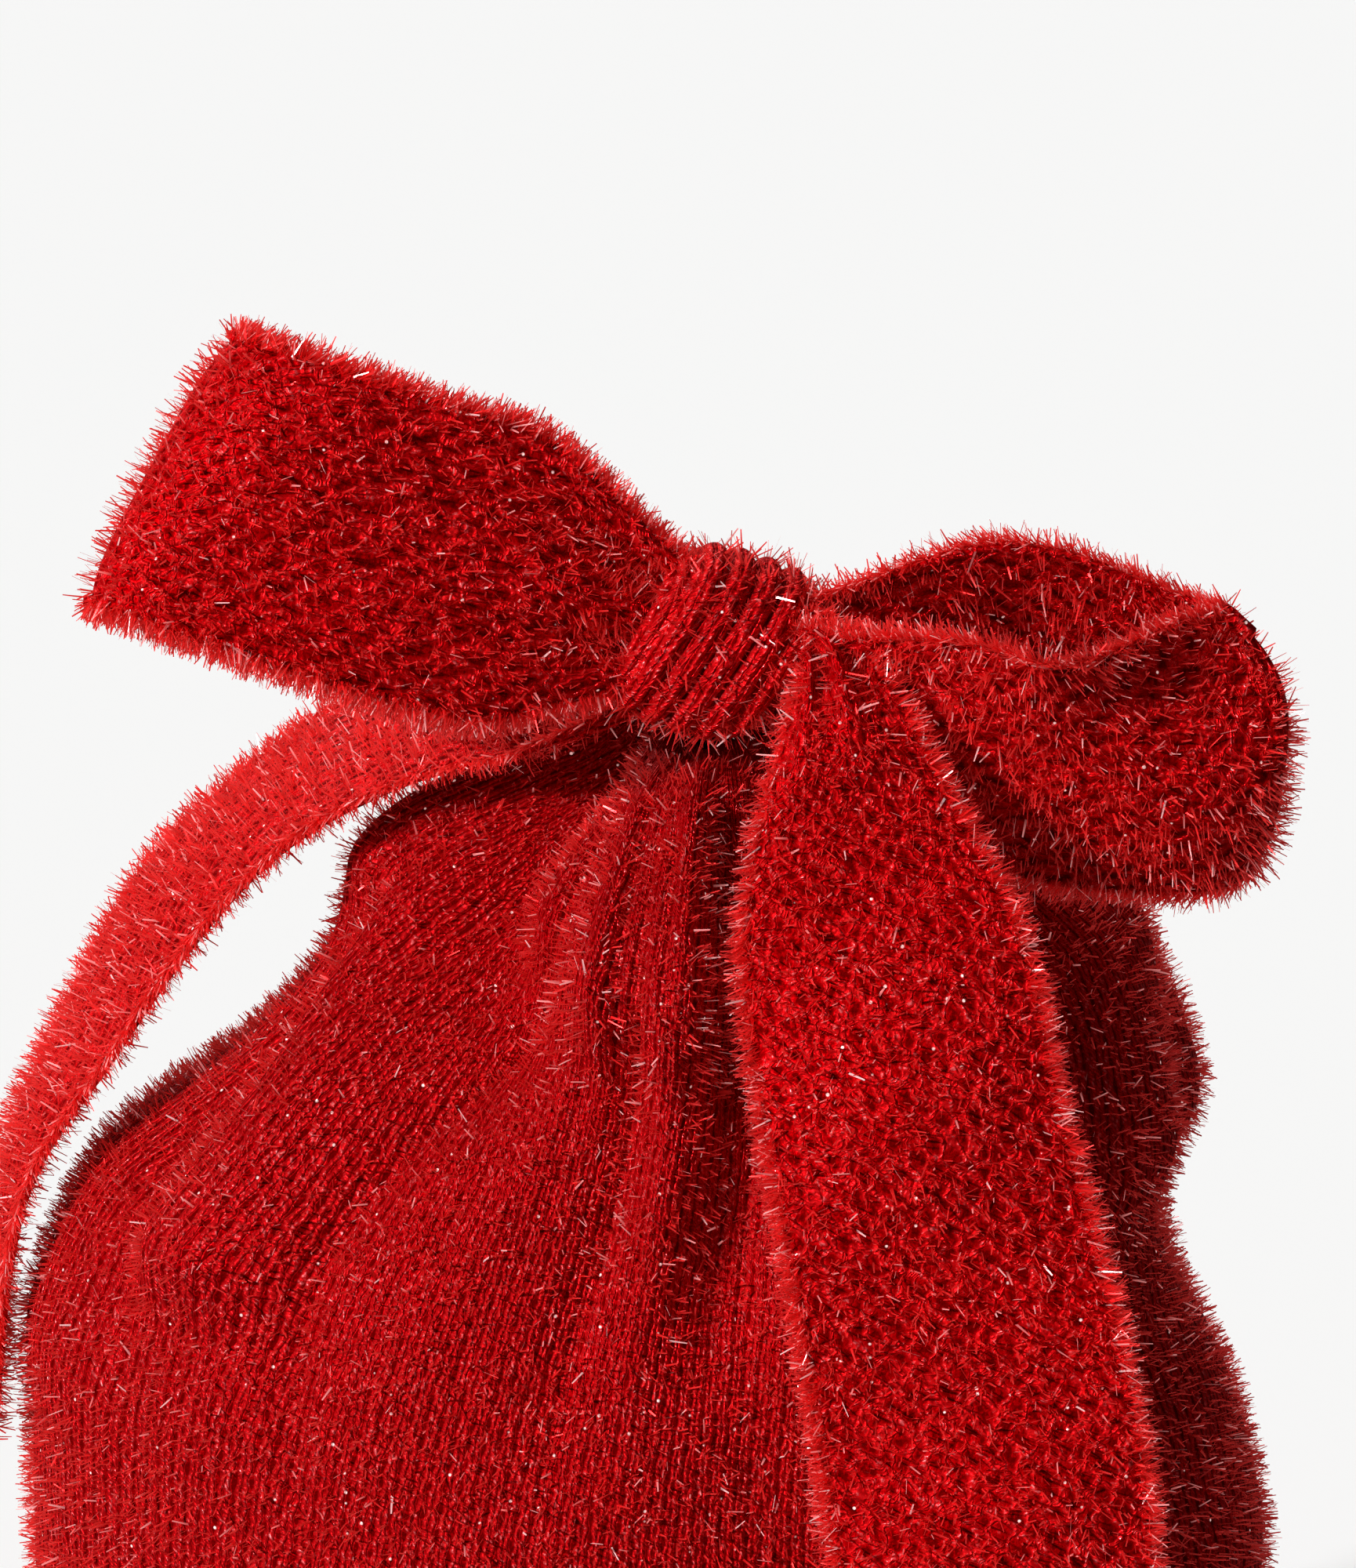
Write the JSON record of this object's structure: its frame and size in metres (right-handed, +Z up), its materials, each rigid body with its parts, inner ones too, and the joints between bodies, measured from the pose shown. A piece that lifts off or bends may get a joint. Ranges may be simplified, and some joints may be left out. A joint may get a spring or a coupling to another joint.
{
  "type": "fabric gift sack",
  "caption": "Soft red tinsel-knit gift sack, filled out and standing, with its neck gathered and tied in a large two-loop bow.",
  "frame": {"origin": "middle of the flat base, on the surface that the sack stands on", "axes": "+Z up, -Y towards the front where the bow is, +X to the right as seen from the front"},
  "size_m": [0.1485, 0.1093, 0.232],
  "materials": {
    "tinsel_knit": "glossy",
    "tinsel_knit_tie": "glossy"
  },
  "bodies": {
    "sack": {"base_panel": "tinsel_knit", "front_panel": "tinsel_knit", "back_panel": "tinsel_knit", "left_side_seam": "tinsel_knit", "right_side_seam": "tinsel_knit", "base_seam": "tinsel_knit", "mouth_hem": "tinsel_knit"},
    "bow": {"neck_band": "tinsel_knit_tie", "knot_wrap": "tinsel_knit_tie"},
    "left_loop": {"left_loop": "tinsel_knit_tie"},
    "right_loop": {"right_loop": "tinsel_knit_tie"},
    "left_tail": {"left_tail": "tinsel_knit_tie"},
    "right_tail": {"right_tail": "tinsel_knit_tie"}
  },
  "joints": [
    {"name": "bow_lift", "type": "slide", "parent": "sack", "child": "bow", "axis": [0, 0, 1], "range_m": [0, 0.045]},
    {"name": "left_loop_lift", "type": "hinge", "parent": "bow", "child": "left_loop", "pos_m": [-0.00844, -0.0196, 0.19998], "axis": [0, 1, 0], "range_deg": [0, 25]},
    {"name": "right_loop_lift", "type": "hinge", "parent": "bow", "child": "right_loop", "pos_m": [0.02512, -0.0196, 0.19036], "axis": [0, -1, 0], "range_deg": [0, 25]},
    {"name": "left_tail_lift", "type": "hinge", "parent": "bow", "child": "left_tail", "pos_m": [-0.0064, 0, 0.185], "axis": [0, 1, 0], "range_deg": [0, 20]},
    {"name": "right_tail_lift", "type": "hinge", "parent": "bow", "child": "right_tail", "pos_m": [0.02, -0.0272, 0.197], "axis": [-1, 0, 0], "range_deg": [0, 50]}
  ]
}
